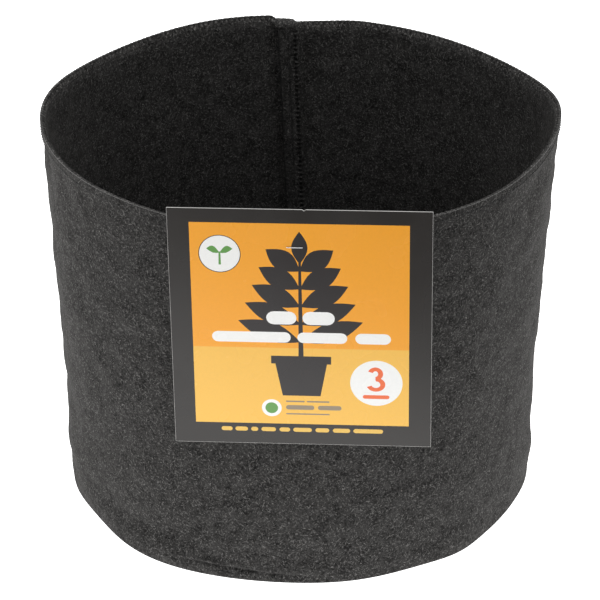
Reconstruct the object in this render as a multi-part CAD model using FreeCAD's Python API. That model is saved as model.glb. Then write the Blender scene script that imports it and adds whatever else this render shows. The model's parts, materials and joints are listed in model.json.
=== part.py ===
"""Fabric grow bag: felt wall and base, sewing threads, printed card and its staple.

Millimetres, +Z up. The origin is the centre of the base's underside. The label card faces -Y, and
the bag's one vertical seam is at the back, near +Y.
"""
import FreeCAD, Part
import math
import os

# Bag
BASE_RADIUS = 127.0          # outer radius of the wall at the ground, a 10 inch base
RIM_RADIUS = 136.0           # outer radius of the wall at its top edge
WALL_HEIGHT = 213.6          # top edge of the felt
FELT = 2.5                   # felt as it comes off the roll
SEAM_FELT = 2.0              # one layer of felt pressed flat in a seam
FOOT_FOLD_RADIUS = 4.0       # outside rounding where the wall turns under

# Threads
THREAD = 0.4                 # thickness of a laid thread or of a layer of loops
THREAD_GAP = 0.6             # room for the hidden threads between a wall and its allowance
PLY_GAP = 0.1                # between two pressed layers of one piece

# Rim overlock
RIM_STITCH_DEPTH = 4.0       # from the felt's top edge down to the needle line

# Vertical back seam: the allowances are folded to the left, seen from the front
SEAM_ANGLE = 94.0            # degrees from +X about +Z
SEAM_SLIT = 0.2              # between the two ends of the panel
SEAM_FOLD = 1.6              # width of the fold that joins an end to its allowance
SEAM_ALLOWANCE = 11.0        # free edge of the allowances, from the seam
SEAM_CHAIN_LINE = 2.2        # chain stitch, from the seam
SEAM_OVERLOCK_LINE = 5.5     # overlock's needle line, from the seam

# Base seam: both allowances stand up inside, against the wall
FOOT_ALLOWANCE_HEIGHT = 11.0
FOOT_ALLOWANCE_RADIUS = 122.0   # where the wall's allowance meets the base's
FOOT_CHAIN_HEIGHT = 3.6
FOOT_OVERLOCK_HEIGHT = 5.9

# Label card: flat, stiff, stapled by hand a little off centre and not quite square
CARD_WIDTH = 129.5
CARD_LENGTH = 133.5
CARD_THICKNESS = 0.45
CARD_ABOVE_RIM = 10.1
CARD_OFFSET = 8.8            # centre of the card, from the bag's front line
CARD_LEAN = 1.5              # degrees, top outward
CARD_ROLL = 0.7              # degrees, in the plane of the card
CARD_CLEARANCE = 0.15        # between the card and the rim's threads
CARD_FLEX_LINE = 25.0        # from the card's top edge down to the line where it bends
CARD_HINGE_GAP = 0.7         # the bending strip, which the two card nodes leave open

# Staple: crown on the card, legs through card and felt, points turned in
STAPLE_WIRE_RADIUS = 0.25
STAPLE_CROWN = 8.5
STAPLE_POINT = 3.4           # length of each turned-in point
STAPLE_BEND_RADIUS = 0.5
STAPLE_BELOW_TOP = 20.7      # from the card's top edge
STAPLE_OFFSET = -2.6         # from the card's centre line

RIM_TOP = WALL_HEIGHT + THREAD
Z_AXIS = FreeCAD.Vector(0, 0, 1)
ORIGIN = FreeCAD.Vector(0, 0, 0)


def wall_radius(z):
    """Outer radius of the felt wall at height z."""
    return BASE_RADIUS + (RIM_RADIUS - BASE_RADIUS) * z / WALL_HEIGHT


def seam_angle_at(distance):
    """Angle that lies this far left of the back seam, measured along the rim."""
    return SEAM_ANGLE + math.degrees(distance / RIM_RADIUS)


def revolved(points, start=0.0, sweep=360.0):
    """Solid of the (radius, z) outline turned about +Z from one angle through a sweep."""
    corners = [FreeCAD.Vector(r, 0, z) for r, z in points]
    face = Part.Face(Part.makePolygon(corners + corners[:1]))
    face.rotate(ORIGIN, Z_AXIS, start)
    return face.revolve(ORIGIN, Z_AXIS, sweep)


def wall_band(outer, inner, low, high, start=0.0, sweep=360.0):
    """Layer that follows the wall's slope, between two depths in from its outer face."""
    outline = [
        (wall_radius(low) - outer, low),
        (wall_radius(high) - outer, high),
        (wall_radius(high) - inner, high),
        (wall_radius(low) - inner, low),
    ]
    return revolved(outline, start, sweep)


def seam_band(outer, inner, low, high, near, far):
    """Part of a wall band, from one distance left of the back seam to another."""
    start = seam_angle_at(near)
    return wall_band(outer, inner, low, high, start, seam_angle_at(far) - start)


def fused(shapes):
    """One clean solid from touching or overlapping shapes."""
    return shapes[0].multiFuse(shapes[1:]).removeSplitter()


# Depths of the seam's layers, in from the wall's outer face
LEFT_PLY_OUTER = FELT + THREAD_GAP
LEFT_PLY_INNER = LEFT_PLY_OUTER + SEAM_FELT
RIGHT_PLY_OUTER = LEFT_PLY_INNER + PLY_GAP
RIGHT_PLY_INNER = RIGHT_PLY_OUTER + SEAM_FELT
FLAP_LOW = FOOT_ALLOWANCE_HEIGHT + 2 * THREAD


def foot_profile():
    """Wall section: outer leg, fold at the ground, and the allowance that stands inside it."""
    allowance_outer = FOOT_ALLOWANCE_RADIUS + SEAM_FELT
    arc_centre = (wall_radius(FOOT_FOLD_RADIUS) - FOOT_FOLD_RADIUS, FOOT_FOLD_RADIUS)
    fold_steps = 6
    fold = []
    for step in range(fold_steps + 1):
        angle = -math.pi / 2 * (1 - step / fold_steps)
        fold.append((arc_centre[0] + FOOT_FOLD_RADIUS * math.cos(angle),
                     arc_centre[1] + FOOT_FOLD_RADIUS * math.sin(angle)))
    return [(FOOT_ALLOWANCE_RADIUS, 0.0)] + fold + [
        (RIM_RADIUS, WALL_HEIGHT),
        (RIM_RADIUS - FELT, WALL_HEIGHT),
        (wall_radius(SEAM_FELT) - FELT, SEAM_FELT),
        (allowance_outer, SEAM_FELT),
        (allowance_outer, FOOT_ALLOWANCE_HEIGHT),
        (FOOT_ALLOWANCE_RADIUS, FOOT_ALLOWANCE_HEIGHT),
    ]


def wall_panel():
    """Felt strip closed into a tube: each end turns inward and lies to the left as a flap."""
    slit = SEAM_SLIT / 2
    start = seam_angle_at(slit)
    tube = revolved(foot_profile(), start, 360.0 - math.degrees(SEAM_SLIT / RIM_RADIUS))
    left_fold = seam_band(FELT - PLY_GAP, LEFT_PLY_INNER, FLAP_LOW, WALL_HEIGHT, slit, SEAM_FOLD)
    left_ply = seam_band(LEFT_PLY_OUTER, LEFT_PLY_INNER, FLAP_LOW, WALL_HEIGHT,
                         slit, SEAM_ALLOWANCE)
    right_fold = seam_band(FELT - PLY_GAP, RIGHT_PLY_INNER, FLAP_LOW, WALL_HEIGHT,
                           -SEAM_FOLD, -slit)
    right_ply = seam_band(RIGHT_PLY_OUTER, RIGHT_PLY_INNER, FLAP_LOW, WALL_HEIGHT,
                          -SEAM_FOLD, SEAM_ALLOWANCE)
    return fused([tube, left_fold, left_ply, right_fold, right_ply])


def base_disc():
    """Flat felt disc whose edge stands up inside, sewn to the wall's allowance."""
    return revolved([
        (0.0, 0.0),
        (FOOT_ALLOWANCE_RADIUS, 0.0),
        (FOOT_ALLOWANCE_RADIUS, FOOT_ALLOWANCE_HEIGHT),
        (FOOT_ALLOWANCE_RADIUS - SEAM_FELT, FOOT_ALLOWANCE_HEIGHT),
        (FOOT_ALLOWANCE_RADIUS - SEAM_FELT, FELT),
        (0.0, FELT),
    ])


def rim_needle_thread():
    """Line of needle thread round the outside of the rim."""
    top = WALL_HEIGHT - RIM_STITCH_DEPTH
    return wall_band(-THREAD, 0.0, top - THREAD, top)


def rim_upper_looper_thread():
    """Loops laid over the outer face of the rim, up to the middle of its top edge."""
    low = WALL_HEIGHT - RIM_STITCH_DEPTH
    face = wall_band(-THREAD, 0.0, low, RIM_TOP)
    cap = wall_band(-THREAD, FELT / 2, WALL_HEIGHT, RIM_TOP)
    return fused([face, cap])


def rim_lower_looper_thread():
    """Loops laid over the inner face of the rim, stepping over the back seam's flap."""
    low = WALL_HEIGHT - RIM_STITCH_DEPTH
    flap_right = -SEAM_FOLD - THREAD
    flap_left = SEAM_ALLOWANCE + THREAD
    flap_start = seam_angle_at(flap_right)
    flap_sweep = seam_angle_at(flap_left) - flap_start
    plain = wall_band(FELT, FELT + THREAD, low, RIM_TOP, flap_start + flap_sweep, 360 - flap_sweep)
    cap = wall_band(FELT / 2, FELT + THREAD, WALL_HEIGHT, RIM_TOP)
    flap_inner = RIGHT_PLY_INNER + THREAD
    over_flap = seam_band(RIGHT_PLY_INNER, flap_inner, low, RIM_TOP, flap_right, flap_left)
    flap_cap = seam_band(FELT / 2, flap_inner, WALL_HEIGHT, RIM_TOP, flap_right, flap_left)
    sides = [
        seam_band(FELT, flap_inner, low, RIM_TOP, flap_right, flap_right + THREAD),
        seam_band(FELT, flap_inner, low, RIM_TOP, flap_left - THREAD, flap_left),
    ]
    return fused([plain, cap, over_flap, flap_cap] + sides)


def side_seam_line(outer, inner, near, far):
    """Thread or layer of loops along the back seam, from the base seam to the rim's overlock."""
    high = WALL_HEIGHT - RIM_STITCH_DEPTH
    return seam_band(outer, inner, FLAP_LOW, high, near, far)


def side_chain_needle_thread():
    """Chain stitch on the flap's face, close to the seam."""
    return side_seam_line(RIGHT_PLY_INNER, RIGHT_PLY_INNER + THREAD,
                          SEAM_CHAIN_LINE, SEAM_CHAIN_LINE + THREAD)


def side_chain_looper_thread():
    """Chain of loops under the flap, facing the wall."""
    return side_seam_line(LEFT_PLY_OUTER - THREAD, LEFT_PLY_OUTER,
                          SEAM_CHAIN_LINE, SEAM_CHAIN_LINE + THREAD)


def side_overlock_needle_thread():
    """Needle line that holds the overlock on the flap's face."""
    return side_seam_line(RIGHT_PLY_INNER, RIGHT_PLY_INNER + THREAD,
                          SEAM_OVERLOCK_LINE, SEAM_OVERLOCK_LINE + THREAD)


def side_upper_looper_thread():
    """Loops over the flap's face, round to the middle of its free edge."""
    edge = SEAM_ALLOWANCE + THREAD
    middle = (LEFT_PLY_OUTER + RIGHT_PLY_INNER) / 2
    face = side_seam_line(RIGHT_PLY_INNER, RIGHT_PLY_INNER + THREAD,
                          SEAM_OVERLOCK_LINE + THREAD, edge)
    turn = side_seam_line(middle, RIGHT_PLY_INNER + THREAD, SEAM_ALLOWANCE, edge)
    return fused([face, turn])


def side_lower_looper_thread():
    """Loops over the flap's hidden face, round to the middle of its free edge."""
    edge = SEAM_ALLOWANCE + THREAD
    middle = (LEFT_PLY_OUTER + RIGHT_PLY_INNER) / 2
    face = side_seam_line(LEFT_PLY_OUTER - THREAD, LEFT_PLY_OUTER,
                          SEAM_OVERLOCK_LINE + THREAD, edge)
    turn = side_seam_line(LEFT_PLY_OUTER - THREAD, middle, SEAM_ALLOWANCE, edge)
    return fused([face, turn])


def ring(inner_radius, outer_radius, low, high):
    """Upright ring about +Z."""
    return revolved([(inner_radius, low), (outer_radius, low),
                     (outer_radius, high), (inner_radius, high)])


def base_inner_ring(low, high):
    """Layer of thread on the inside of the base's turned-up edge."""
    face = FOOT_ALLOWANCE_RADIUS - SEAM_FELT
    return ring(face - THREAD, face, low, high)


def base_hidden_ring(low, high):
    """Layer of thread between the wall and its own allowance."""
    face = FOOT_ALLOWANCE_RADIUS + SEAM_FELT
    return ring(face, face + THREAD, low, high)


def base_chain_needle_thread():
    """Chain stitch round the inside of the base seam."""
    return base_inner_ring(FOOT_CHAIN_HEIGHT, FOOT_CHAIN_HEIGHT + THREAD)


def base_chain_looper_thread():
    """Chain of loops on the hidden side of the base seam."""
    return base_hidden_ring(FOOT_CHAIN_HEIGHT, FOOT_CHAIN_HEIGHT + THREAD)


def base_overlock_needle_thread():
    """Needle line that holds the overlock on the base seam."""
    return base_inner_ring(FOOT_OVERLOCK_HEIGHT, FOOT_OVERLOCK_HEIGHT + THREAD)


def base_upper_looper_thread():
    """Loops on the inside of the base seam and over its top edge to the joint line."""
    top = FOOT_ALLOWANCE_HEIGHT + THREAD
    face = base_inner_ring(FOOT_OVERLOCK_HEIGHT + THREAD, top)
    cap = ring(FOOT_ALLOWANCE_RADIUS - SEAM_FELT - THREAD, FOOT_ALLOWANCE_RADIUS,
               FOOT_ALLOWANCE_HEIGHT, top)
    return fused([face, cap])


def base_lower_looper_thread():
    """Loops on the hidden side of the base seam and over its top edge to the joint line."""
    top = FOOT_ALLOWANCE_HEIGHT + THREAD
    face = base_hidden_ring(FOOT_OVERLOCK_HEIGHT + THREAD, top)
    cap = ring(FOOT_ALLOWANCE_RADIUS, FOOT_ALLOWANCE_RADIUS + SEAM_FELT + THREAD,
               FOOT_ALLOWANCE_HEIGHT, top)
    return fused([face, cap])


def card_placement():
    """Places the card: its own frame has the top edge's middle at 0, -Z down it, -Y outward."""
    lean = FreeCAD.Rotation(FreeCAD.Vector(1, 0, 0), CARD_LEAN)
    roll = FreeCAD.Rotation(FreeCAD.Vector(0, 1, 0), -CARD_ROLL)
    turn = lean.multiply(roll)
    rest_on_rim = FreeCAD.Vector(CARD_OFFSET, -(RIM_RADIUS + THREAD + CARD_CLEARANCE), RIM_TOP)
    top_middle = rest_on_rim - turn.multVec(FreeCAD.Vector(0, 0, -CARD_ABOVE_RIM))
    return FreeCAD.Placement(top_middle, turn)


def card_piece(top, bottom):
    """Slab of card between two distances down from its top edge."""
    slab = Part.makeBox(CARD_WIDTH, CARD_THICKNESS, bottom - top,
                        FreeCAD.Vector(-CARD_WIDTH / 2, -CARD_THICKNESS, -bottom))
    slab.Placement = card_placement()
    return slab


def label_head():
    """Stapled strip of the card, from its top edge to the line where it bends."""
    return card_piece(0.0, CARD_FLEX_LINE - CARD_HINGE_GAP / 2)


def label_leaf():
    """The rest of the card, which lifts away from the bag."""
    return card_piece(CARD_FLEX_LINE + CARD_HINGE_GAP / 2, CARD_LENGTH)


def staple_wire(outer_y, inner_y):
    """Centre line of the closed staple, crown outside and points turned towards each other."""
    half = (STAPLE_CROWN - 2 * STAPLE_WIRE_RADIUS) / 2
    corners = [
        (-half + STAPLE_POINT, inner_y),
        (-half, inner_y),
        (-half, outer_y),
        (half, outer_y),
        (half, inner_y),
        (half - STAPLE_POINT, inner_y),
    ]
    points = [FreeCAD.Vector(STAPLE_OFFSET + x, y, -STAPLE_BELOW_TOP) for x, y in corners]
    edges = []
    start = points[0]
    for before, corner, after in zip(points, points[1:], points[2:]):
        to_before = (before - corner).normalize() * STAPLE_BEND_RADIUS
        to_after = (after - corner).normalize() * STAPLE_BEND_RADIUS
        arc_middle = corner + (to_before + to_after) * (1 - math.sqrt(0.5))
        edges.append(Part.LineSegment(start, corner + to_before).toShape())
        edges.append(Part.Arc(corner + to_before, arc_middle, corner + to_after).toShape())
        start = corner + to_after
    edges.append(Part.LineSegment(start, points[-1]).toShape())
    return Part.Wire(edges)


def staple():
    """Bent steel wire, driven through the card and the felt behind it."""
    outer_y = -(CARD_THICKNESS + STAPLE_WIRE_RADIUS)
    inner_y = CARD_CLEARANCE + THREAD + FELT + STAPLE_WIRE_RADIUS
    path = staple_wire(outer_y, inner_y)
    first = path.Edges[0]
    start = first.valueAt(first.FirstParameter)
    circle = Part.Circle(start, first.tangentAt(first.FirstParameter), STAPLE_WIRE_RADIUS)
    wire = path.makePipeShell([Part.Wire(circle.toShape())], True, False)
    wire.Placement = card_placement()
    return wire


SUB_PARTS = [
    wall_panel,
    base_disc,
    rim_needle_thread,
    rim_upper_looper_thread,
    rim_lower_looper_thread,
    side_chain_needle_thread,
    side_chain_looper_thread,
    side_overlock_needle_thread,
    side_upper_looper_thread,
    side_lower_looper_thread,
    base_chain_needle_thread,
    base_chain_looper_thread,
    base_overlock_needle_thread,
    base_upper_looper_thread,
    base_lower_looper_thread,
    label_head,
    label_leaf,
    staple,
]


def report_hinge():
    """Prints the card's bending line, which is the leaf's hinge."""
    placement = card_placement()
    middle = FreeCAD.Vector(0, -CARD_THICKNESS / 2, -CARD_FLEX_LINE)
    print("hinge at", placement.multVec(middle))
    print("hinge axis", placement.Rotation.multVec(FreeCAD.Vector(-1, 0, 0)))


def main():
    """Writes one STEP file per sub-part."""
    os.makedirs("parts", exist_ok=True)
    for make in SUB_PARTS:
        shape = make()
        shape.exportStep("parts/" + make.__name__ + ".step")
        print(make.__name__, len(shape.Solids), "solid,", round(shape.Volume, 1), "mm3")
    report_hinge()


main()
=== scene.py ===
"""Looks of the fabric grow bag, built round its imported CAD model.

Metres, +Z up, the label card faces -Y. A bearing is an angle about +Z from +X, in radians.
"""
import json
import math
import random

import bpy
import numpy as np
from mathutils import Matrix, Vector, geometry


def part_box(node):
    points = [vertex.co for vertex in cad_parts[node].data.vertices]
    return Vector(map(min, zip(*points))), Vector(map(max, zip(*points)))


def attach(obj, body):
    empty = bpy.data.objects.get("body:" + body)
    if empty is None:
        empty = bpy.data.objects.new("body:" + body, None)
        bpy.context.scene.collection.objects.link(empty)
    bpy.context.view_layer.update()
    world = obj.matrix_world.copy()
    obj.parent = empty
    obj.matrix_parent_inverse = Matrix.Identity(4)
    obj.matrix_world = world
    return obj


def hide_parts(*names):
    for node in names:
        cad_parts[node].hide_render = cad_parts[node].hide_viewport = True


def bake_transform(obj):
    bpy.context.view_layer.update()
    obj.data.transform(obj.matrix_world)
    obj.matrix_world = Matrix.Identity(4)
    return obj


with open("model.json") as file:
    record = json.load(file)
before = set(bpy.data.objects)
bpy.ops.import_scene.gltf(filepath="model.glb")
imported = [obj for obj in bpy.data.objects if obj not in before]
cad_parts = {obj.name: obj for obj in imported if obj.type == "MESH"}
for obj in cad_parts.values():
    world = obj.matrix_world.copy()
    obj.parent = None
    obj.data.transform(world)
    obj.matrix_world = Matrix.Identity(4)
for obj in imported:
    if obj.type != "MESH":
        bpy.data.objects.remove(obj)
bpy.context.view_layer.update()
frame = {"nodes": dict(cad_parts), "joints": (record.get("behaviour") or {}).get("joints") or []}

MM = 0.001
TURN = 2 * math.pi

# Bag, from the frame
WALL_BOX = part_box("wall_panel")
RIM_RADIUS = WALL_BOX[1][0]
WALL_TOP = WALL_BOX[1][2]
BASE_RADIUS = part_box("base_disc")[1][0] + 5.1 * MM
LABEL_HINGE = Vector(frame["joints"][0]["pos_m"])

# Felt
FELT = 2.5 * MM
SEAM_FELT = 2.0 * MM
FOOT_RADIUS = 122.0 * MM         # where the wall's turned-in allowance meets the base's
FOOT_RIDGE = 11.0 * MM           # height of the base seam's allowances
FOOT_CORNER = 2.0 * MM

# Threads: radius of one strand, and stitch lengths
THREAD_RADIUS = 0.17 * MM
RIM_THREAD_RADIUS = 0.25 * MM    # the rim's upper looper
HEAVY_THREAD_RADIUS = 0.3 * MM   # the rim's lower looper and the back seam's chain needle
LEG_SLANT = 0.12                 # share of a stitch by which a looper's leg leans
RIM_PITCH = 3.07 * MM
SEAM_PITCH = 2.77 * MM
PAINTED_HIGHLIGHT_THREAD = "rim_upper_looper_thread"   # the rim's upper looper, the same thread painted paler as a highlight along the rim's top edge; every other thread is black
PAINTED_HIGHLIGHT_THREAD_SHADE = 0.12
BLACK_SHADE = 0.006
PAINTED_HIGHLIGHT_SHADE = 2.1              # how much paler the rim's felt is painted where it catches the light: a painted highlight

# Rim overlock
RIM_DEPTH = 4.2 * MM             # needle line below the top edge
RIM_THICKNESS = 2.6 * MM

# Back seam: distances to the left of the seam, seen from the front
SEAM_BEARING = math.radians(94.3)
SEAM_DRIFT = math.radians(-3.7)  # how far the seam has wandered by the foot
FLAP_EDGE = 12.0 * MM
FLAP_CHAIN = 2.2 * MM
FLAP_NEEDLE = 6.0 * MM
FLAP_RISE = 4.3 * MM             # the flap's face above the wall's inner face
SEAM_START = FOOT_RIDGE + 2 * MM # height of its first stitch

# Uneven shape of the standing bag: (crests round the bag, millimetres, degrees of one crest)
RIM_WAVES = ((0, 1.3, 0), (1, 0.25, 146), (2, 2.1, -6), (3, 2.3, -19),
             (4, 0.65, 1), (5, 0.2, -4), (6, 0.7, -4))
FOOT_WAVES = ((1, 2.95, 95), (2, 0.75, -36), (3, 2.05, 36), (4, 1.45, -32))
BELLY_WAVES = ((2, 1.05, 44), (3, 0.45, -58), (4, 0.85, 25), (5, 0.9, 12))
# Where the rim dips beside the card: (degrees, half width, millimetres)
RIM_DIPS = ((-137, 25, 2.4), (-38, 27, 1.9))
# Where the felt sags outwards at the foot: (degrees, half width, millimetres, height it reaches)
FOOT_SAGS = ((198, 12, 3.3, 60), (-128, 20.5, 4.6, 22), (-73, 14, 1.6, 22),
             (-45, 9, 2.5, 22), (-3, 12, 2.2, 45))
CREASE_BEARING = -102            # middle of the fold over the base seam, in degrees
CREASE_WIDTH = 14
SHOULDER = 0.9 * MM              # how far the felt swells under the rim on the right

# Card
CARD_WIDTH = 129.5 * MM
CARD_LENGTH = 133.5 * MM
CARD_THICKNESS = 0.45 * MM
CARD_LEAN = math.radians(1.5)
CARD_ROLL = math.radians(0.7)
CARD_FLEX_LINE = 25.0 * MM       # from the top edge down to the hinge


# ---------------------------------------------------------------- meshes

def new_object(name, vertices, faces, smooth=True):
    """Mesh object at the origin."""
    mesh = bpy.data.meshes.new(name)
    mesh.from_pydata(vertices, [], faces)
    mesh.validate()
    if smooth:
        mesh.shade_smooth()
    piece = bpy.data.objects.new(name, mesh)
    bpy.context.scene.collection.objects.link(piece)
    return piece


def grid_faces(rows, columns, close_rows, close_columns, start=0):
    """Quads between the points of a grid, which may close on itself either way."""
    row = np.arange(rows if close_rows else rows - 1)
    column = np.arange(columns if close_columns else columns - 1)
    here, there = np.meshgrid(row, column, indexing="ij")
    above = (here + 1) % rows
    beside = (there + 1) % columns
    corners = [here * columns + there, here * columns + beside,
               above * columns + beside, above * columns + there]
    return (np.stack(corners, -1).reshape(-1, 4) + start).tolist()


def grid_object(name, points, close_rows=True, close_columns=True, cap_columns=False):
    """Surface through a (rows, columns, 3) grid; an open run of rows can be capped at both ends."""
    rows, columns = points.shape[:2]
    faces = grid_faces(rows, columns, close_rows, close_columns)
    if cap_columns:
        faces.append(list(range(columns)))
        faces.append(list(range((rows - 1) * columns, rows * columns))[::-1])
    return new_object(name, points.reshape(-1, 3).tolist(), faces)


def tube(name, path, radius=THREAD_RADIUS, sides=6, closed=True):
    """Round thread along a path of points."""
    ahead = np.roll(path, -1, 0) - np.roll(path, 1, 0)
    if not closed:
        ahead[0] = path[1] - path[0]
        ahead[-1] = path[-1] - path[-2]
    ahead /= np.linalg.norm(ahead, axis=1)[:, None]
    outward = path * (1, 1, 0)
    side = np.cross(ahead, outward)
    side /= np.linalg.norm(side, axis=1)[:, None]
    lift = np.cross(side, ahead)
    angle = np.arange(sides) * TURN / sides
    section = (np.cos(angle)[None, :, None] * side[:, None, :]
               + np.sin(angle)[None, :, None] * lift[:, None, :])
    points = path[:, None, :] + radius * section
    return grid_object(name, points, close_rows=closed, cap_columns=not closed)


def joined(name, pieces):
    """One object from several."""
    bpy.ops.object.select_all(action="DESELECT")
    for piece in pieces:
        piece.select_set(True)
    bpy.context.view_layer.objects.active = pieces[0]
    bpy.ops.object.join()
    pieces[0].name = name
    pieces[0].data.name = name
    return pieces[0]


# ---------------------------------------------------------------- shape of the bag

def smooth_step(low, high, value):
    """0 below low, 1 above high, and an easy curve between."""
    share = np.clip((value - low) / (high - low), 0, 1)
    return share * share * (3 - 2 * share)


def bump(centre, width, value):
    """Bell of height 1."""
    return np.exp(-((value - centre) / width) ** 2)


def around(centre, width, bearing):
    """Bell of height 1 about a bearing, centre and width in degrees."""
    return bump(0, width, (np.degrees(bearing) - centre + 180) % 360 - 180)


def waves(table, bearing):
    """Sum of the cosine waves in a table of (crests, millimetres, degrees of a crest)."""
    return sum(size * MM * np.cos(crests * (bearing - math.radians(crest)))
               for crests, size, crest in table)


def random_ripples(seed, count, finest, coarsest):
    """Random waves that close seamlessly round the bag: (turns, rate up the wall, phase)."""
    rng = random.Random(seed)
    ripples = []
    for _ in range(count):
        length = coarsest * (finest / coarsest) ** rng.random()
        heading = rng.uniform(0, math.pi)
        turns = round(TURN * RIM_RADIUS / length * math.cos(heading))
        ripples.append((turns, TURN / length * math.sin(heading), rng.uniform(0, TURN)))
    return ripples


NAP = random_ripples(seed=3, count=90, finest=3.5 * MM, coarsest=12 * MM)
CREASES = random_ripples(seed=8, count=40, finest=22 * MM, coarsest=90 * MM)


def ripple(table, bearing, height):
    """Random relief with a root mean square of 1."""
    total = sum(np.cos(turns * bearing + rate * height + phase) for turns, rate, phase in table)
    return total / math.sqrt(len(table) / 2)


def seam_bearing(height):
    """Bearing of the back seam, which isn't quite upright."""
    return SEAM_BEARING + SEAM_DRIFT * (1 - height / WALL_TOP)


def left_of_seam(bearing, height):
    """Distance to the left of the back seam."""
    turned = (bearing - seam_bearing(height) + math.pi) % TURN - math.pi
    return turned * RIM_RADIUS


def rim_height(bearing):
    """Height of the felt's top edge, which waves and steps down across the back seam's flap."""
    left = left_of_seam(bearing, WALL_TOP)
    flap_step = 1.7 * MM * smooth_step(15.5 * MM, 12.5 * MM, left)
    seam_step = 1.2 * MM * smooth_step(3 * MM, 1 * MM, left)
    steps = (flap_step + seam_step) * smooth_step(-40 * MM, -2 * MM, left)
    dips = sum(size * MM * around(centre, width, bearing) for centre, width, size in RIM_DIPS)
    return WALL_TOP + waves(RIM_WAVES, bearing) - steps - dips


def wall_radius(bearing, height):
    """Outer radius of the standing wall."""
    share = height / WALL_TOP
    straight = BASE_RADIUS + (RIM_RADIUS - BASE_RADIUS) * share
    foot = waves(FOOT_WAVES, bearing) * (1 - smooth_step(0, 0.7, share))
    foot_bulge = 1.3 * MM * bump(0.16, 0.12, share)
    for centre, width, size, reach in FOOT_SAGS:
        fade = smooth_step(reach * MM, 0.3 * reach * MM, height)
        foot = foot + size * MM * around(centre, width, bearing) * fade
    belly = waves(BELLY_WAVES, bearing) * np.sin(math.pi * np.clip(share, 0, 1))
    shoulder = SHOULDER * around(8, 44, bearing) * bump(0.87, 0.19, share)
    left = left_of_seam(bearing, height)
    seam_pull = -1.1 * MM * bump(0, 5 * MM, left) * smooth_step(0, 0.1, share)
    beside_card = 1 - around(-90, 35, bearing)
    flare = 0.9 * MM * beside_card * smooth_step(10 * MM, 1 * MM, rim_height(bearing) - height)
    return straight + foot + foot_bulge + belly + shoulder + seam_pull + flare


def foot_radius(bearing):
    """Where the wall's and the base's turned-in allowances meet."""
    return wall_radius(bearing, 8 * MM) - FELT - SEAM_FELT - 0.6 * MM


def felt_relief(bearing, height):
    """Soft dents and the fine nap of the felt."""
    return 0.35 * MM * ripple(CREASES, bearing, height) + 0.07 * MM * ripple(NAP, bearing, height)


def at(bearing, radius, height):
    """Points from bearings, radii and heights."""
    bearing, radius, height = np.broadcast_arrays(bearing, radius, height)
    return np.stack([radius * np.cos(bearing), radius * np.sin(bearing), height], -1)


# ---------------------------------------------------------------- edges that are overlocked

def rounded_edge(across, half_thickness, height, face_corner, back_corner):
    """Outline over an edge: across is 0 at the face's needle line, 1 on the edge, 2 on the back.

    Gives x from the middle of the thickness, y above the needle line, and the outward direction.
    """
    side = np.where(across < 1, 1.0, -1.0)
    corner = np.where(across < 1, face_corner, back_corner)
    straight = height - corner
    bend = corner * math.pi / 2
    flat = half_thickness - (face_corner + back_corner) / 2
    whole = straight + bend + flat
    run = (1 - np.abs(1 - across)) * whole
    angle = np.clip((run - straight) / corner, 0, math.pi / 2)
    x = half_thickness - corner * (1 - np.cos(angle)) - np.clip(run - straight - bend, 0, None)
    y = np.minimum(run, straight) + corner * np.sin(angle)
    return side * x, y, side * np.cos(angle), np.sin(angle)


def rim_edge(along, across, lift):
    """Surface of the overlocked rim; along runs from the back seam, to the left."""
    bearing = SEAM_BEARING + along / RIM_RADIUS
    left = left_of_seam(bearing, WALL_TOP)
    over_flap = smooth_step(-4 * MM, 1 * MM, left) * smooth_step(FLAP_EDGE + 2 * MM, FLAP_EDGE, left)
    half = (RIM_THICKNESS + (FLAP_RISE - 0.2 * MM) * over_flap) / 2
    x, y, out_x, out_y = rounded_edge(across, half, RIM_DEPTH, 0.5 * MM, 2.2 * MM)
    top = rim_height(bearing)
    outer = wall_radius(bearing, top)
    height = top - RIM_DEPTH + y + out_y * lift
    return at(bearing, outer - half + x + out_x * lift, height)


def flap_edge(along, across, lift):
    """Surface of the back seam's flap; along is the height, and its face looks inward."""
    half = FLAP_RISE / 2 - 0.3 * MM
    x, y, out_x, out_y = rounded_edge(across, half, FLAP_EDGE - FLAP_NEEDLE, 1.2 * MM, 1.2 * MM)
    left = FLAP_NEEDLE + y + out_y * lift
    bearing = seam_bearing(along) + left / RIM_RADIUS
    middle = wall_radius(bearing, along) - FELT - 0.5 * MM - half
    return at(bearing, middle - x - out_x * lift, along)


def foot_edge(along, across, lift):
    """Surface of the base seam's ridge; its face looks inward."""
    x, y, out_x, out_y = rounded_edge(across, SEAM_FELT, 5.0 * MM, 1.2 * MM, 1.2 * MM)
    height = FOOT_RIDGE - 5.0 * MM + y + out_y * lift
    bearing = along / FOOT_RADIUS
    return at(bearing, foot_radius(bearing) - x - out_x * lift, height)


# ---------------------------------------------------------------- felt

def wall_heights():
    """Shares of the wall's height: close at the foot, even above it."""
    foot = np.linspace(0.0, 14 * MM, 22) / WALL_TOP
    return np.concatenate([foot, np.linspace(foot[-1], 1.0, 116)[1:]])


def wall_bearings():
    """Bearings of the wall's columns: close beside the back seam, even elsewhere."""
    beside = np.linspace(-0.2, 0.2, 72, endpoint=False)
    rest = np.linspace(0.2, TURN - 0.2, 400, endpoint=False)
    return SEAM_BEARING + np.concatenate([beside, rest])


def foot_crease(bearing, height):
    """Fold low on the front, where the wall sags over the base seam."""
    along = ((np.degrees(bearing) - CREASE_BEARING + 180) % 360 - 180) / CREASE_WIDTH
    line = (7.0 - 1.2 * along) * MM
    return bump(0, 1, along) * (0.9 * MM * bump(line + 2.6 * MM, 2.4 * MM, height)
                                - 1.5 * MM * bump(line, 0.9 * MM, height))


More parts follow.
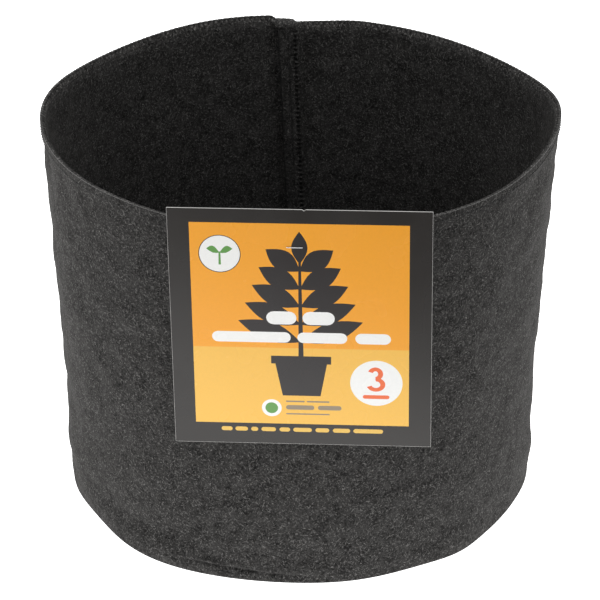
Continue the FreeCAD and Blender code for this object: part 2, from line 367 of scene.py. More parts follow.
def make_wall():
    """Wall panel as one closed loop of section, turned round the bag."""
    bearing = wall_bearings()[None, :]
    share = wall_heights()[:, None]
    low = rim_height(bearing) - RIM_DEPTH + 0.6 * MM
    height = share * low
    corner = np.clip(1 - height / FOOT_CORNER, 0, 1)
    tuck = FOOT_CORNER * (1 - np.sqrt(1 - corner ** 2))
    near_rim = 1 - smooth_step(0.97, 1.0, share)
    relief = felt_relief(bearing, height) * near_rim * smooth_step(0, 0.04, share)
    outer = at(bearing, wall_radius(bearing, height) - tuck + relief
               + foot_crease(bearing, height), height)
    inner_height = np.linspace(1.0, FOOT_RIDGE / WALL_TOP, 70)[:, None] * low
    beside_flap = bump(FLAP_EDGE + 1.4 * MM, 1.8 * MM, left_of_seam(bearing, inner_height))
    thickness = FELT - 0.9 * MM * beside_flap
    flat_rim = 1 - 0.8 * bump(1, 0.03, inner_height / low)
    inner_relief = felt_relief(bearing + 1.0, inner_height) * flat_rim
    inner = at(bearing, wall_radius(bearing, inner_height) - thickness + inner_relief, inner_height)
    ridge = [(0.9 * MM, 5 * MM), (0.3 * MM, SEAM_FELT), (0, 4 * MM), (0, FOOT_RIDGE - 1.2 * MM),
             (-0.7 * MM, FOOT_RIDGE), (-SEAM_FELT, FOOT_RIDGE), (-SEAM_FELT, 0.5 * MM), (0, 0.1 * MM)]
    back = foot_radius(bearing[0]) + SEAM_FELT
    hidden = np.stack([at(bearing[0], back + out, z) for out, z in ridge])
    return grid_object("felt_wall", np.concatenate([outer, inner, hidden]))


def leg_mark(along, reach, pitch, width):
    """1 where a stitch's legs press into an edge, 0 between stitches.

    reach runs from 0 on the needle line to 1 on the edge; the legs slant a little.
    """
    distance = np.abs((along / pitch - LEG_SLANT * reach + 0.5) % 1 - 0.5) * pitch
    return bump(0, width, distance)


def make_rim():
    """Felt under the rim's overlock, pressed in by every stitch, most of all inside."""
    stitches = round(TURN * RIM_RADIUS / RIM_PITCH)
    columns = stitches * 9
    along = (np.arange(columns) / columns * TURN * RIM_RADIUS)[None, :]
    across = np.concatenate([[-0.16, -0.1], np.linspace(-0.04, 2.04, 24), [2.1, 2.16]])[:, None]
    reach = 1 - np.abs(1 - across)
    mark = leg_mark(along, reach, TURN * RIM_RADIUS / stitches, 0.5 * MM)
    pressed = smooth_step(0.3, 0.45, reach) * smooth_step(0.93, 0.82, reach)
    depth = np.where(across < 1, 0.15 * MM, 1.2 * MM) * pressed
    hole = 0.5 * MM * bump(0, 0.06, reach)
    swell = 0.15 * MM * bump(0.6, 0.25, reach)
    tuck_in = 1.2 * MM * smooth_step(-0.04, -0.16, reach)
    points = rim_edge(along, np.clip(across, 0, 2), swell - (depth + hole) * mark - tuck_in)
    points[..., 2] -= np.clip(-reach, 0, None) * 8 * MM
    rim = grid_object("felt_rim", points)
    # Paler felt along the cut edge, and inside between the stitches: a painted highlight where the rim
    # catches the light.
    row = across[:, 0]
    painted_highlight = ((row > 0.88) & (row < 1.06)) | ((row > 1.24) & (row < 1.8))
    rim.data.polygons.foreach_set("material_index", np.repeat(painted_highlight, columns).astype(np.int32))
    return rim


def flap_top():
    """Height up to which the flap runs, inside the rim's overlock."""
    return float(rim_height(SEAM_BEARING)) - 2.4 * MM


def make_flap():
    """Back seam's two allowances, laid to the left and stitched."""
    height = np.arange(FOOT_RIDGE + 1 * MM, flap_top(), 0.45 * MM)[:, None]
    stitch = ((height - SEAM_START) / SEAM_PITCH) % 1 - 0.5
    face_left = np.linspace(-3.2 * MM, FLAP_NEEDLE, 26)[None, :]
    rise = FLAP_RISE * smooth_step(-3.2 * MM, 1.6 * MM, face_left)
    hollow = smooth_step(0.42, 0.3, np.abs(stitch)) * bump(FLAP_CHAIN, 1.0 * MM, face_left)
    valley = 0.4 * MM * bump(FLAP_CHAIN, 1.2 * MM, face_left) + 2.2 * MM * hollow
    bearing = seam_bearing(height) + face_left / RIM_RADIUS
    nap = 0.10 * MM * ripple(NAP, bearing, height)
    depth = FELT + 0.1 * MM + rise - valley + nap
    face = at(bearing, wall_radius(bearing, height) - depth, height)
    across = np.linspace(0.03, 2, 30)[None, :]
    press = 0.8 * MM * bump(0, 0.07, across) * smooth_step(0.4, 0.28, np.abs(stitch))
    legs = leg_mark(height - SEAM_START, 1 - np.abs(1 - across), SEAM_PITCH, 0.45 * MM)
    press = press + 0.35 * MM * legs * smooth_step(0.2, 0.9, across)
    split = 0.5 * MM * bump(1, 0.05, across)
    edge_nap = 0.08 * MM * ripple(NAP, bearing[:, :1] + across / 40, height)
    edge = flap_edge(height, across, edge_nap - press - split)
    back = at(bearing[:, :1], wall_radius(bearing[:, :1], height) - FELT + 0.6 * MM, height)
    return grid_object("felt_flap", np.concatenate([face, edge, back], 1),
                       close_rows=False, cap_columns=True)


def make_base():
    """Felt disc with its edge turned up inside."""
    bearing = np.linspace(0, TURN, 240, endpoint=False)
    meeting = foot_radius(bearing)
    inner = meeting - SEAM_FELT
    face = []
    for share in np.linspace(0.0005, 0.97, 30):
        dents = 0.12 * MM * share * ripple(CREASES, bearing, share * inner)
        face.append(at(bearing, share * inner, FELT + dents))
    section = ((SEAM_FELT + 0.5 * MM, FELT + 0.6 * MM), (SEAM_FELT, FELT + 2 * MM),
               (SEAM_FELT, FOOT_RIDGE - 1 * MM), (1.4 * MM, FOOT_RIDGE), (0.02 * MM, FOOT_RIDGE),
               (0.02 * MM, 0.6 * MM), (0.6 * MM, 0.0))
    edge = [at(bearing, meeting - inset, height) for inset, height in section]
    underside = [at(bearing, share * inner, 0.0) for share in np.linspace(0.97, 0.0005, 12)]
    return grid_object("felt_base", np.stack(face + edge + underside))


# ---------------------------------------------------------------- sewing threads

def looper(surface, length, pitch, ends, start=0.0, sink=0.1 * MM, edge_lift=0.09 * MM):
    """Looper thread: a leg down to the needle line and back, then along the edge to the next stitch.

    The legs lie in the felt by the sink, and the runs along the edge stand off it by the edge lift.
    """
    stitches = round(length / pitch)
    places = np.array([0.0, 0.03, 0.06, 0.1, 0.2, 0.4, 0.6, 0.8, 0.9, 0.94, 0.97])
    reaches = np.array([0.0, 0.45, 0.8, 0.96, 1.0, 1.0, 1.0, 1.0, 0.96, 0.8, 0.45])
    reach = np.tile(reaches, stitches)
    phase = (np.arange(stitches)[:, None] + places[None, :]).reshape(-1) + LEG_SLANT * reach
    across = ends[0] + (ends[1] - ends[0]) * reach
    lift = edge_lift - (sink + edge_lift) * smooth_step(1.0, 0.9, reach)
    return surface(start + phase * length / stitches, across, lift)


def dashes(surface, length, pitch, across, start=0.0, sink=-0.12 * MM, dip=0.8 * MM):
    """Needle thread: short stitches on the face, or sunk in it, that dive into the felt."""
    stitches = round(length / pitch)
    phase = np.arange(stitches * 10) / 10
    down = bump(0, 0.16, (phase + 0.5) % 1 - 0.5)
    return surface(start + phase * length / stitches, across * np.ones_like(phase), -sink - dip * down)


def chain(surface, length, pitch, across, width, start=0.0):
    """Chain stitch's looper thread: loops that each lie through the last."""
    stitches = round(length / pitch)
    phase = np.arange(stitches * 16) / 16
    sway = across + width * np.sin(TURN * phase)
    along = start + (phase + 0.28 * np.sin(2 * TURN * phase)) * length / stitches
    lift = 0.12 * MM + 0.1 * MM * np.cos(2 * TURN * phase)
    return surface(along, sway, lift)


def thread_name(node):
    """Name of the piece that shows a thread's CAD node."""
    return "thread_" + node.removesuffix("_thread")


def make_rim_threads():
    """Three threads of the rim's overlock."""
    length = TURN * RIM_RADIUS
    needle = dashes(rim_edge, length, RIM_PITCH, 0.0)
    upper = looper(rim_edge, length, RIM_PITCH, (0.02, 0.88), sink=0.4 * MM)
    lower = looper(rim_edge, length, RIM_PITCH, (1.66, 1.14), sink=0.8 * MM, edge_lift=-0.3 * MM)
    return {
        "rim_needle_thread": tube("thread_rim_needle", needle),
        "rim_upper_looper_thread": tube("thread_rim_upper", upper, RIM_THREAD_RADIUS),
        "rim_lower_looper_thread": tube("thread_rim_lower", lower, HEAVY_THREAD_RADIUS),
    }


def flap_face(along, across, lift):
    """Flap's face near the seam: across is the distance to the left, and lift is inward."""
    bearing = seam_bearing(along) + across / RIM_RADIUS
    return at(bearing, wall_radius(bearing, along) - FELT - FLAP_RISE + 0.5 * MM - lift, along)


def make_side_threads():
    """Five threads of the back seam's safety stitch."""
    length = math.floor((flap_top() - 2 * MM - SEAM_START) / SEAM_PITCH) * SEAM_PITCH
    needle = dashes(flap_face, length, SEAM_PITCH, FLAP_CHAIN, SEAM_START, sink=0.9 * MM, dip=1.2 * MM)
    back = chain(flap_face, length, SEAM_PITCH, FLAP_CHAIN, 0.5 * MM, SEAM_START)
    back = back * (1 + (FLAP_RISE + 0.2 * MM) / RIM_RADIUS * np.array([1, 1, 0]))
    overlock = dashes(flap_edge, length, SEAM_PITCH, 0.02, SEAM_START)
    upper = looper(flap_edge, length, SEAM_PITCH, (0.04, 0.8), SEAM_START, sink=0.3 * MM)
    lower = looper(flap_edge, length, SEAM_PITCH, (1.9, 1.1), SEAM_START, sink=0.3 * MM)
    paths = {
        "side_chain_needle_thread": needle,
        "side_chain_looper_thread": back,
        "side_overlock_needle_thread": overlock,
        "side_upper_looper_thread": upper,
        "side_lower_looper_thread": lower,
    }
    radii = {"side_chain_needle_thread": HEAVY_THREAD_RADIUS}
    return {node: tube(thread_name(node), path, radii.get(node, THREAD_RADIUS), closed=False)
            for node, path in paths.items()}


def foot_face(along, across, lift):
    """Base seam's inner face: across is the height."""
    bearing = along / FOOT_RADIUS
    return at(bearing, foot_radius(bearing) - SEAM_FELT - lift, across)


def foot_back(along, across, lift):
    """Base seam's hidden face: across is the height."""
    bearing = along / FOOT_RADIUS
    return at(bearing, foot_radius(bearing) + SEAM_FELT + lift, across)


def make_base_threads():
    """Five threads of the base seam's safety stitch."""
    length = TURN * FOOT_RADIUS
    paths = {
        "base_chain_needle_thread": dashes(foot_face, length, SEAM_PITCH, 3.8 * MM),
        "base_chain_looper_thread": chain(foot_back, length, SEAM_PITCH, 3.8 * MM, 0.5 * MM),
        "base_overlock_needle_thread": dashes(foot_edge, length, SEAM_PITCH, 0.0),
        "base_upper_looper_thread": looper(foot_edge, length, SEAM_PITCH, (0.02, 0.8)),
        "base_lower_looper_thread": looper(foot_edge, length, SEAM_PITCH, (1.98, 1.2)),
    }
    return {node: tube(thread_name(node), path) for node, path in paths.items()}


# ---------------------------------------------------------------- label card

def card_frame():
    """Matrix of the card's own frame: origin at the middle of its top edge, x right, -z down."""
    turn = Matrix.Rotation(CARD_LEAN, 4, "X") @ Matrix.Rotation(-CARD_ROLL, 4, "Y")
    top_middle = LABEL_HINGE - turn @ Vector((0, -CARD_THICKNESS / 2, -CARD_FLEX_LINE))
    return Matrix.Translation(top_middle) @ turn


def circle(centre, radius, corners=48):
    """Points round a circle, in card millimetres."""
    return [(centre[0] + radius * math.cos(TURN * step / corners),
             centre[1] + radius * math.sin(TURN * step / corners)) for step in range(corners)]


def rectangle(left, top, right, bottom):
    """Corners of a box, in card millimetres."""
    return [(left, top), (right, top), (right, bottom), (left, bottom)]


def bar(left, top, right, bottom):
    """Box with round ends."""
    radius = (bottom - top) / 2
    middle = (top + bottom) / 2
    points = []
    for step in range(9):
        angle = math.pi / 2 + math.pi * step / 8
        points.append((left + radius + radius * math.cos(angle), middle - radius * math.sin(angle)))
    for step in range(9):
        angle = -math.pi / 2 + math.pi * step / 8
        points.append((right - radius + radius * math.cos(angle), middle - radius * math.sin(angle)))
    return points


# Print, in card millimetres from the card's top left corner
PANEL = (10.7, 7.7, 118.3, 121.6)   # left, top, right, bottom
HORIZON = 77.4                      # where the panel's upper colour ends
STEM = 64.5                         # middle of the plant's stem
BADGE = (25.3, 24.9)
SIZE_DISC = (102, 96.8)
SMALL_DISC = (49.3, 112.4)


def limb(start, end, start_width, end_width):
    """Tapering stalk."""
    along = Vector(end) - Vector(start)
    side = Vector((-along.y, along.x)).normalized()
    corners = [Vector(start) + side * start_width / 2, Vector(end) + side * end_width / 2,
               Vector(end) - side * end_width / 2, Vector(start) - side * start_width / 2]
    return [tuple(corner) for corner in corners]


def leaf(base, tip, width):
    """Pointed leaf from its base to its tip."""
    along = Vector(tip) - Vector(base)
    side = Vector((-along.y, along.x)).normalized() * width / 2
    shares = [step / 10 for step in range(11)]
    edge = [Vector(base) + along * share + side * math.sin(math.pi * share) for share in shares]
    back = [Vector(base) + along * share - side * math.sin(math.pi * share) for share in shares[9:0:-1]]
    return [tuple(point) for point in edge + back]


def plant_shapes():
    """Plain house plant: pairs of leaves on one stem, in a tapered pot."""
    shapes = [limb((STEM, 84), (STEM, 26), 2.6, 1.2),
              [(STEM - 15, 82), (STEM + 15, 82), (STEM + 15, 86.5), (STEM - 15, 86.5)],
              [(STEM - 13, 86), (STEM + 13, 86), (STEM + 9.5, 105), (STEM - 9.5, 105)],
              leaf((STEM, 30), (STEM, 12), 8)]
    for tier in range(5):
        level = 74 - tier * 10
        reach = 31 - tier * 3.6
        for sideways in (-1, 1):
            shapes.append(leaf((STEM, level), (STEM + sideways * reach, level - 12), 11))
    return shapes


def numeral_three(left, top, right, bottom, stroke):
    """The digit 3 as two open rings, drawn as quads."""
    shapes = []
    height = bottom - top
    upper = (left + right) / 2 - 0.3, top + height * 0.27
    lower = (left + right) / 2 - 0.1, bottom - height * 0.29
    radii = ((right - left) / 2 - 0.9, height * 0.27), ((right - left) / 2, height * 0.29)
    spans = (-160, 90), (-90, 160)
    for centre, radius, span in zip((upper, lower), radii, spans):
        steps = 22
        for step in range(steps):
            corners = []
            for share, inset in ((step, 0), (step + 1, 0), (step + 1, stroke), (step, stroke)):
                angle = math.radians(span[0] + (span[1] - span[0]) * share / steps)
                corners.append((centre[0] + (radius[0] - inset) * math.cos(angle),
                                centre[1] + (radius[1] - inset * 0.86) * math.sin(angle)))
            shapes.append(corners)
    return shapes


def badge_shapes():
    """Plain seedling for the round badge: a stem and two leaves."""
    x, y = BADGE
    outline = []
    for step in range(12):
        share = step / 11
        outline.append((share * 6.4, -2.6 * math.sin(math.pi * share) - 2.2 * share))
    for share in (0.8, 0.5, 0.2):
        outline.append((6.4 * share, -2.2 * share + 1.2 * math.sin(math.pi * share)))
    right = [(x + a, y - 0.6 + b) for a, b in outline]
    left = [(x - a, y - 0.6 + b) for a, b in outline]
    stem = limb((x, y + 6), (x, y - 1.2), 1.2, 0.9)
    return [right, left, stem]


def word_bars(spans, top, bottom):
    """Row of plain bars, from (left, right) pairs, where the words of such a card go."""
    return [bar(left, top, right, bottom) for left, right in spans]


def print_layers():
    """What is printed on the card, from the bottom layer up: (ink, shapes)."""
    foot_line = ((23.6, 29.2), (30.6, 37.0), (38.6, 42.2), (43.8, 51.2), (53.0, 58.4),
                 (60.0, 69.4), (71.2, 78.2), (80.0, 88.8), (90.4, 105.4))
    return [
        ("ink_orange", [rectangle(PANEL[0], PANEL[1], PANEL[2], HORIZON)]),
        ("ink_yellow", [rectangle(PANEL[0], HORIZON, PANEL[2], PANEL[3])]),
        ("ink_plant", plant_shapes()),
        ("ink_plant", [circle(BADGE, 10.4)]),
        ("ink_white", [circle(BADGE, 10.0)]),
        ("ink_leaf", badge_shapes()),
        ("ink_white", word_bars(((47.5, 62.5), (65.5, 81.5)), 56.6, 64.0)),
        ("ink_white", word_bars(((20.3, 59.5), (62.8, 87.6), (91.6, 109.3)), 68.4, 74.4)),
        ("ink_white", [circle(SIZE_DISC, 13.1)]),
        ("ink_numeral", numeral_three(97.1, 87.6, 106.6, 101.6, 2.5)),
        ("ink_numeral", word_bars(((95.2, 108.6),), 103.7, 105.9)),
        ("ink_white", [circle(SMALL_DISC, 5.0)]),
        ("ink_leaf", [circle(SMALL_DISC, 3.2, 24)]),
        ("ink_grey", word_bars(((56.5, 66.0), (67.0, 78.5)), 107.9, 108.8)),
        ("ink_grey", word_bars(((56.5, 70.8), (72.6, 84.5)), 110.6, 113.2)),
        ("ink_grey", word_bars(((56.5, 78.5),), 115.3, 116.1)),
        ("ink_gold", word_bars(foot_line, 123.9, 126.3)),
    ]


INKS = {
    "ink_border": (0.011, 0.008, 0.006),
    "paper": (0.72, 0.71, 0.69),
    "ink_orange": (0.95, 0.39, 0.022),
    "ink_yellow": (0.93, 0.53, 0.085),
    "ink_plant": (0.014, 0.010, 0.010),
    "ink_white": (0.93, 0.93, 0.91),
    "ink_leaf": (0.12, 0.33, 0.07),
    "ink_numeral": (0.88, 0.16, 0.045),
    "ink_grey": (0.30, 0.24, 0.16),
    "ink_gold": (0.83, 0.52, 0.10),
}
INK_ORDER = list(INKS)


def card_outline():
    """The cut card, with the small nick in its top edge."""
    width, length = CARD_WIDTH / MM, CARD_LENGTH / MM
    return [(0, 0), (66.2, 0), (67.1, 0.75), (68.0, 0), (width, 0), (width, length), (0, length)]


def counter_clockwise(points):
    """The same polygon, turning from x towards y."""
    area = sum(a[0] * b[1] - a[1] * b[0] for a, b in zip(points, points[1:] + points[:1]))
    return points if area > 0 else points[::-1]


def card_partition():
    """Flat triangles of the card's face, each with its ink: points in card millimetres."""
    width, length = CARD_WIDTH / MM, CARD_LENGTH / MM
    outline = card_outline()
    inset = 0.1   # bare paper along the cut
    inner = [(x + inset * (1 if x < width / 2 else -1), y + inset * (1 if y < length / 2 else -1))
             for x, y in outline]
    polygons = [("paper", outline), ("ink_border", inner)]
    for ink, shapes in print_layers():
        polygons += [(ink, shape) for shape in shapes if len(shape) > 2]
    points, edges, faces = [], [], []
    for _, shape in polygons:
        start = len(points)
        points += [Vector(point) for point in counter_clockwise(shape)]
        faces.append(list(range(start, len(points))))
    for level in CARD_FLEX_LINE / MM - 14 + np.arange(41) * 1.1:   # rows across the card round its flex line
        points += [Vector((0, level)), Vector((width, level))]
        edges.append((len(points) - 2, len(points) - 1))
    flat, _, triangles, _, _, sources = geometry.delaunay_2d_cdt(points, edges, faces, 1, 1e-4)
    kept = [(triangle, polygons[max(source)][0])
            for triangle, source in zip(triangles, sources) if source]
    return flat, kept


def make_card():
    """Printed card: face in coloured regions, white back and white cut edges."""
    flat, triangles = card_partition()
    to_world = card_frame()
    width = CARD_WIDTH / MM

    def place(point, depth):
        return tuple(to_world @ Vector(((point.x - width / 2) * MM, depth, -point.y * MM)))

    count = len(flat)
    vertices = [place(point, -CARD_THICKNESS) for point in flat] + [place(point, 0) for point in flat]
    faces, inks = [], []
    rim = {}
    for corners, ink in triangles:
        a, b, c = (flat[k] for k in corners[:3])
        if (b - a).cross(c - a) > 0:
            corners = corners[::-1]
        faces.append(tuple(corners))
        inks.append(ink)
        faces.append(tuple(corner + count for corner in reversed(corners)))
        inks.append("paper")
        for first, second in zip(corners, list(corners[1:]) + [corners[0]]):
            rim[(first, second)] = rim.get((first, second), 0) + 1
    for first, second in rim:
        if (second, first) not in rim:
            faces.append((second, first, first + count, second + count))
            inks.append("paper")
    card = new_object("label_card", vertices, faces, smooth=False)
    for ink in INK_ORDER:
        card.data.materials.append(ink_material(ink))
    for face, ink in zip(card.data.polygons, inks):
        face.material_index = INK_ORDER.index(ink)
    return card


# ---------------------------------------------------------------- materials

class Nodes:
    """Short way to write a material's node tree."""

    def __init__(self, name):
        self.material = bpy.data.materials.new(name)
        self.material.use_nodes = True
        self.tree = self.material.node_tree
        self.shader = self.tree.nodes["Principled BSDF"]

    def add(self, kind, **values):
        """Adds a node and sets its properties by name."""
        node = self.tree.nodes.new(kind)
        for key, value in values.items():
            setattr(node, key, value)
        return node

    def feed(self, node, socket, value):
        """Sets a socket to a number, or links another node's output to it."""
        if hasattr(value, "is_output"):
            self.tree.links.new(value, node.inputs[socket])
        else:
            node.inputs[socket].default_value = value

    def math(self, operation, first, second=0.0):
        """Math node's result."""
        node = self.add("ShaderNodeMath", operation=operation)
        self.feed(node, 0, first)
        self.feed(node, 1, second)
        return node.outputs[0]

    def noise(self, vector, scale, detail=2.0, roughness=0.5):
        """Noise between 0 and 1."""
        node = self.add("ShaderNodeTexNoise")
        self.feed(node, "Vector", vector)
        self.feed(node, "Scale", scale)
        self.feed(node, "Detail", detail)
        self.feed(node, "Roughness", roughness)
        return node.outputs["Fac"]

    def turned(self, vector, angle, size=(1.0, 1.0, 1.0), start=0.0):
        """Vector in axes turned about Z, counted in steps of a size."""
        node = self.add("ShaderNodeMapping", vector_type="TEXTURE")
        self.feed(node, "Vector", vector)
        self.feed(node, "Location", (start, start, start))
        self.feed(node, "Rotation", (0.0, 0.0, angle))
        self.feed(node, "Scale", size)
        return node.outputs[0]

    def spread(self, value, low, high, new_low=0.0, new_high=1.0):
        """Maps a range to another, clamped."""
        node = self.add("ShaderNodeMapRange")
        self.feed(node, "Value", value)
        self.feed(node, "From Min", low)
        self.feed(node, "From Max", high)
        self.feed(node, "To Min", new_low)
        self.feed(node, "To Max", new_high)
        return node.outputs[0]

    def mix(self, share, first, second):
        """Mix of two colours."""
        node = self.add("ShaderNodeMix", data_type="RGBA")
        self.feed(node, 0, share)
        self.feed(node, 6, first)
        self.feed(node, 7, second)
        return node.outputs[2]

    def bump(self, height, strength, distance):
        """Surface direction from a height."""
        node = self.add("ShaderNodeBump")
        self.feed(node, "Height", height)
        self.feed(node, "Strength", strength)
        self.feed(node, "Distance", distance)
        return node.outputs[0]


def wall_coordinates(nodes):
    """Millimetres round the bag, up it and out from its middle, cut at the back seam."""
    place = nodes.add("ShaderNodeTexCoord").outputs["Object"]
    parts = nodes.add("ShaderNodeSeparateXYZ")
    nodes.feed(parts, 0, nodes.turned(place, SEAM_BEARING - math.pi / 2))
    bearing = nodes.math("ARCTAN2", parts.outputs[0], nodes.math("MULTIPLY", parts.outputs[1], -1.0))
    radius = nodes.math("SQRT", nodes.math("ADD", nodes.math("POWER", parts.outputs[0], 2.0),
                                           nodes.math("POWER", parts.outputs[1], 2.0)))
    join = nodes.add("ShaderNodeCombineXYZ")
    nodes.feed(join, 0, nodes.math("MULTIPLY", bearing, RIM_RADIUS / MM))
    nodes.feed(join, 1, nodes.math("MULTIPLY", parts.outputs[2], 1 / MM))
    nodes.feed(join, 2, nodes.math("MULTIPLY", radius, 1 / MM))
    return join.outputs[0]


def flat_coordinates(nodes):
    """Millimetres along the bag's own axes."""
    place = nodes.add("ShaderNodeTexCoord").outputs["Object"]
    return nodes.turned(place, 0.0, (MM, MM, MM))


def grey(value, warmth=0.03):
    """Charcoal of a given lightness, a little warm."""
    return (value * (1 + warmth), value, value * (1 - warmth), 1.0)


def felt_material(name, coordinates, shade=1.0):
    """Needled felt: dark matted fibres, pale fibres lying every way, soft clouds and a dull sheen."""
    nodes = Nodes(name)
    where = coordinates(nodes)
    fibres = 0.0
    for number in range(6):
        lying = nodes.turned(where, math.pi * number / 6 + 0.2, (2.1, 0.68, 2.1), 37.0 * number)
        fibres = nodes.math("MAXIMUM", fibres, nodes.noise(lying, 1.0, 1.0))
    flecks = nodes.spread(fibres, 0.65, 0.83)
    clouds = nodes.noise(where, 0.14, 3.0)
    grain = nodes.noise(where, 0.75, 3.0, 0.7)
    ground = nodes.spread(nodes.math("ADD", grain, nodes.math("MULTIPLY", clouds, 0.5)), 0.55, 0.95)
    dark, middle, pale = (grey(value * shade) for value in (0.005, 0.047, 0.205))
    matted = nodes.mix(ground, dark, middle)
    nodes.feed(nodes.shader, "Base Color", nodes.mix(nodes.math("MULTIPLY", flecks, 0.9), matted, pale))
    nodes.feed(nodes.shader, "Roughness", 0.95)
    nodes.feed(nodes.shader, "Specular IOR Level", 0.1)
    nodes.feed(nodes.shader, "Sheen Weight", 0.04)
    nodes.feed(nodes.shader, "Sheen Roughness", 0.5)
    nodes.feed(nodes.shader, "Sheen Tint", (1.0, 0.95, 0.9, 1.0))
    height = nodes.math("ADD", nodes.math("MULTIPLY", flecks, 0.5), grain)
    nodes.feed(nodes.shader, "Normal", nodes.bump(height, 0.7, 0.3 * MM))
    return nodes.material


def thread_material(name, shade):
    """Spun polyester thread, twisted."""
    nodes = Nodes(name)
    place = nodes.add("ShaderNodeTexCoord").outputs["Object"]
    twist = nodes.noise(nodes.turned(place, 0.6, (1.0, 1.0, 0.4)), 2600.0, 1.0)
    strands = nodes.mix(nodes.spread(twist, 0.35, 0.7), grey(0.4 * shade), grey(1.6 * shade))
    nodes.feed(nodes.shader, "Base Color", strands)
    nodes.feed(nodes.shader, "Roughness", 0.6)
    nodes.feed(nodes.shader, "Normal", nodes.bump(twist, 0.5, 0.08 * MM))
    return nodes.material


def ink_material(name):
    """Gloss-coated printed board: even ink with a faint mottle, or bare paper fibre."""
    nodes = Nodes(name)
    place = nodes.add("ShaderNodeTexCoord").outputs["Object"]
    mottle = nodes.noise(place, 900.0, 3.0)
    colour = INKS[name]
    low = tuple(0.95 * shade for shade in colour) + (1.0,)
    high = tuple(min(1.0, 1.04 * shade) for shade in colour) + (1.0,)
    nodes.feed(nodes.shader, "Base Color", nodes.mix(mottle, low, high))
    smear = nodes.noise(place, 45.0, 2.0)
    bare = name == "paper"
    smooth, rough = (0.7, 0.85) if bare else (0.22, 0.30)
    nodes.feed(nodes.shader, "Roughness", nodes.spread(smear, 0.3, 0.7, smooth, rough))
    nodes.feed(nodes.shader, "Specular IOR Level", 0.3 if bare else 0.5)
    nodes.feed(nodes.shader, "Normal", nodes.bump(mottle, 0.05, 0.05 * MM))
    return nodes.material


def steel_material():
    """Galvanised staple wire, drawn and slightly scuffed."""
    nodes = Nodes("staple_steel")
    place = nodes.add("ShaderNodeTexCoord").outputs["Object"]
    scuff = nodes.noise(nodes.turned(place, 0.0, (5.0, 1.0, 1.0)), 4000.0, 2.0)
    steel = nodes.mix(scuff, (0.62, 0.63, 0.65, 1.0), (0.85, 0.86, 0.88, 1.0))
    nodes.feed(nodes.shader, "Base Color", steel)
    nodes.feed(nodes.shader, "Metallic", 1.0)
    nodes.feed(nodes.shader, "Roughness", nodes.spread(scuff, 0.3, 0.7, 0.22, 0.42))
    return nodes.material


def set_material(piece, material):
    """The piece's only material."""
    piece.data.materials.clear()
    piece.data.materials.append(material)


# ---------------------------------------------------------------- stage

SKY_LOW = 0.35
SKY_HIGH = 1.0
FLOOR_GLOW = 1.65
FLOOR_WIDTH = 24.0
LIGHT_TURN = math.radians(27)    # of the line where the floor's light ends
LIGHT_EDGE = (-0.43, -0.285)     # from dark to fully lit, in metres across that line


def make_sky():
    """Soft even light, brighter overhead than at the horizon."""
    world = bpy.data.worlds.new("studio")
    bpy.context.scene.world = world
    world.use_nodes = True
    tree = world.node_tree
    direction = tree.nodes.new("ShaderNodeTexCoord")
    parts = tree.nodes.new("ShaderNodeSeparateXYZ")
    ramp = tree.nodes.new("ShaderNodeMapRange")
    ramp.inputs["From Min"].default_value = 0.0
    ramp.inputs["From Max"].default_value = 1.0
    ramp.inputs["To Min"].default_value = SKY_LOW
    ramp.inputs["To Max"].default_value = SKY_HIGH
    tree.links.new(direction.outputs["Generated"], parts.inputs[0])
    tree.links.new(parts.outputs[2], ramp.inputs["Value"])
    background = tree.nodes["Background"]
    background.inputs[0].default_value = (1.0, 1.0, 1.0, 1.0)
    tree.links.new(ramp.outputs[0], background.inputs[1])


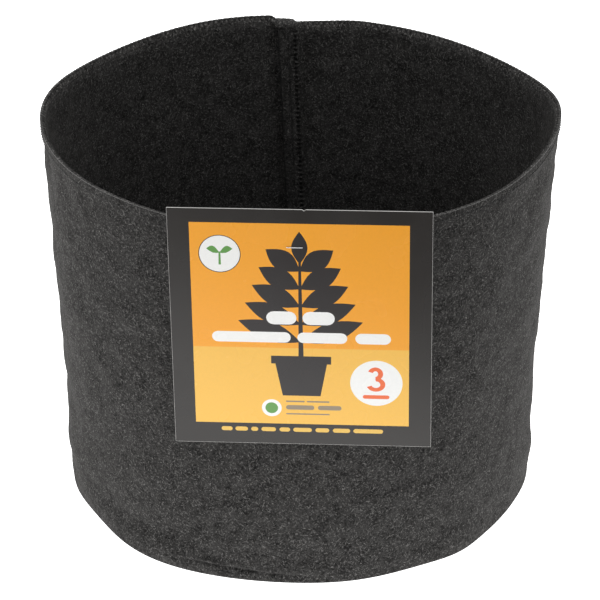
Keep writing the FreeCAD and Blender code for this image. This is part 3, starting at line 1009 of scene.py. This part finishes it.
def make_floor():
    """Pale table, lit round the bag; its light ends along a slanting line in front of the label."""
    reach = FLOOR_WIDTH / 2
    corners = [(-reach, -reach, 0), (reach, -reach, 0), (reach, reach, 0), (-reach, reach, 0)]
    floor = new_object("floor", corners, [(0, 1, 2, 3)], smooth=False)
    nodes = Nodes("pale_floor")
    parts = nodes.add("ShaderNodeSeparateXYZ")
    place = nodes.add("ShaderNodeTexCoord").outputs["Object"]
    nodes.feed(parts, 0, nodes.turned(place, LIGHT_TURN))
    lit = nodes.spread(parts.outputs[1], *LIGHT_EDGE, 0.0, FLOOR_GLOW)
    nodes.feed(nodes.shader, "Base Color", (0.55, 0.55, 0.55, 1.0))
    nodes.feed(nodes.shader, "Roughness", 0.9)
    nodes.feed(nodes.shader, "Specular IOR Level", 0.0)
    nodes.feed(nodes.shader, "Emission Color", (1.0, 1.0, 1.0, 1.0))
    nodes.feed(nodes.shader, "Emission Strength", lit)
    set_material(floor, nodes.material)


def make_camera():
    """Camera in front of the label, a little to its right, looking down into the bag."""
    azimuth = math.radians(3.77)
    elevation = math.radians(27.64)
    distance = 1.5077
    target = Vector((0.0, 0.0, 0.1028))
    data = bpy.data.cameras.new("camera")
    data.lens = 165.0
    data.sensor_width = 36.0
    camera = bpy.data.objects.new("camera", data)
    back = Vector((math.sin(azimuth) * math.cos(elevation), -math.cos(azimuth) * math.cos(elevation),
                   math.sin(elevation)))
    camera.location = target + back * distance
    camera.rotation_euler = back.to_track_quat("Z", "Y").to_euler()
    bpy.context.scene.collection.objects.link(camera)
    bpy.context.scene.camera = camera
    bpy.context.scene.view_settings.view_transform = "Standard"


# ---------------------------------------------------------------- assembly

def make_felt_wall():
    """Wall panel, its overlocked rim and the back seam's flap, as one piece."""
    felt = felt_material("felt", wall_coordinates)
    # paler copy of the felt for the rim's edge and the humps between its stitches: a painted highlight
    painted_highlight_felt = felt_material("felt_painted_highlight", wall_coordinates, shade=PAINTED_HIGHLIGHT_SHADE)
    panel, rim, flap = make_wall(), make_rim(), make_flap()
    set_material(panel, felt)
    set_material(flap, felt)
    rim.data.materials.append(felt)
    rim.data.materials.append(painted_highlight_felt)
    wall = joined("felt_wall", [panel, rim, flap])
    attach(wall, "bag")
    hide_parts("wall_panel")


def make_felt_base():
    """Base disc."""
    base = make_base()
    set_material(base, felt_material("felt_flat", flat_coordinates))
    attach(base, "bag")
    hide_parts("base_disc")


def make_threads():
    """All sewing threads, each in place of its CAD node."""
    black = thread_material("thread_black", BLACK_SHADE)
    # paler copy of the thread for the rim's upper looper: a painted highlight along the rim's top edge
    painted_highlight_thread = thread_material("thread_painted_highlight", PAINTED_HIGHLIGHT_THREAD_SHADE)
    threads = make_rim_threads() | make_side_threads() | make_base_threads()
    for node, piece in threads.items():
        set_material(piece, painted_highlight_thread if node == PAINTED_HIGHLIGHT_THREAD else black)
        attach(piece, "bag")
        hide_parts(node)


def make_label():
    """Card and its staple."""
    card = make_card()
    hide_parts("label_head", "label_leaf")
    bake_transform(card)
    set_material(frame["nodes"]["staple"], steel_material())


make_camera()
make_sky()
make_floor()
make_felt_wall()
make_felt_base()
make_threads()
make_label()
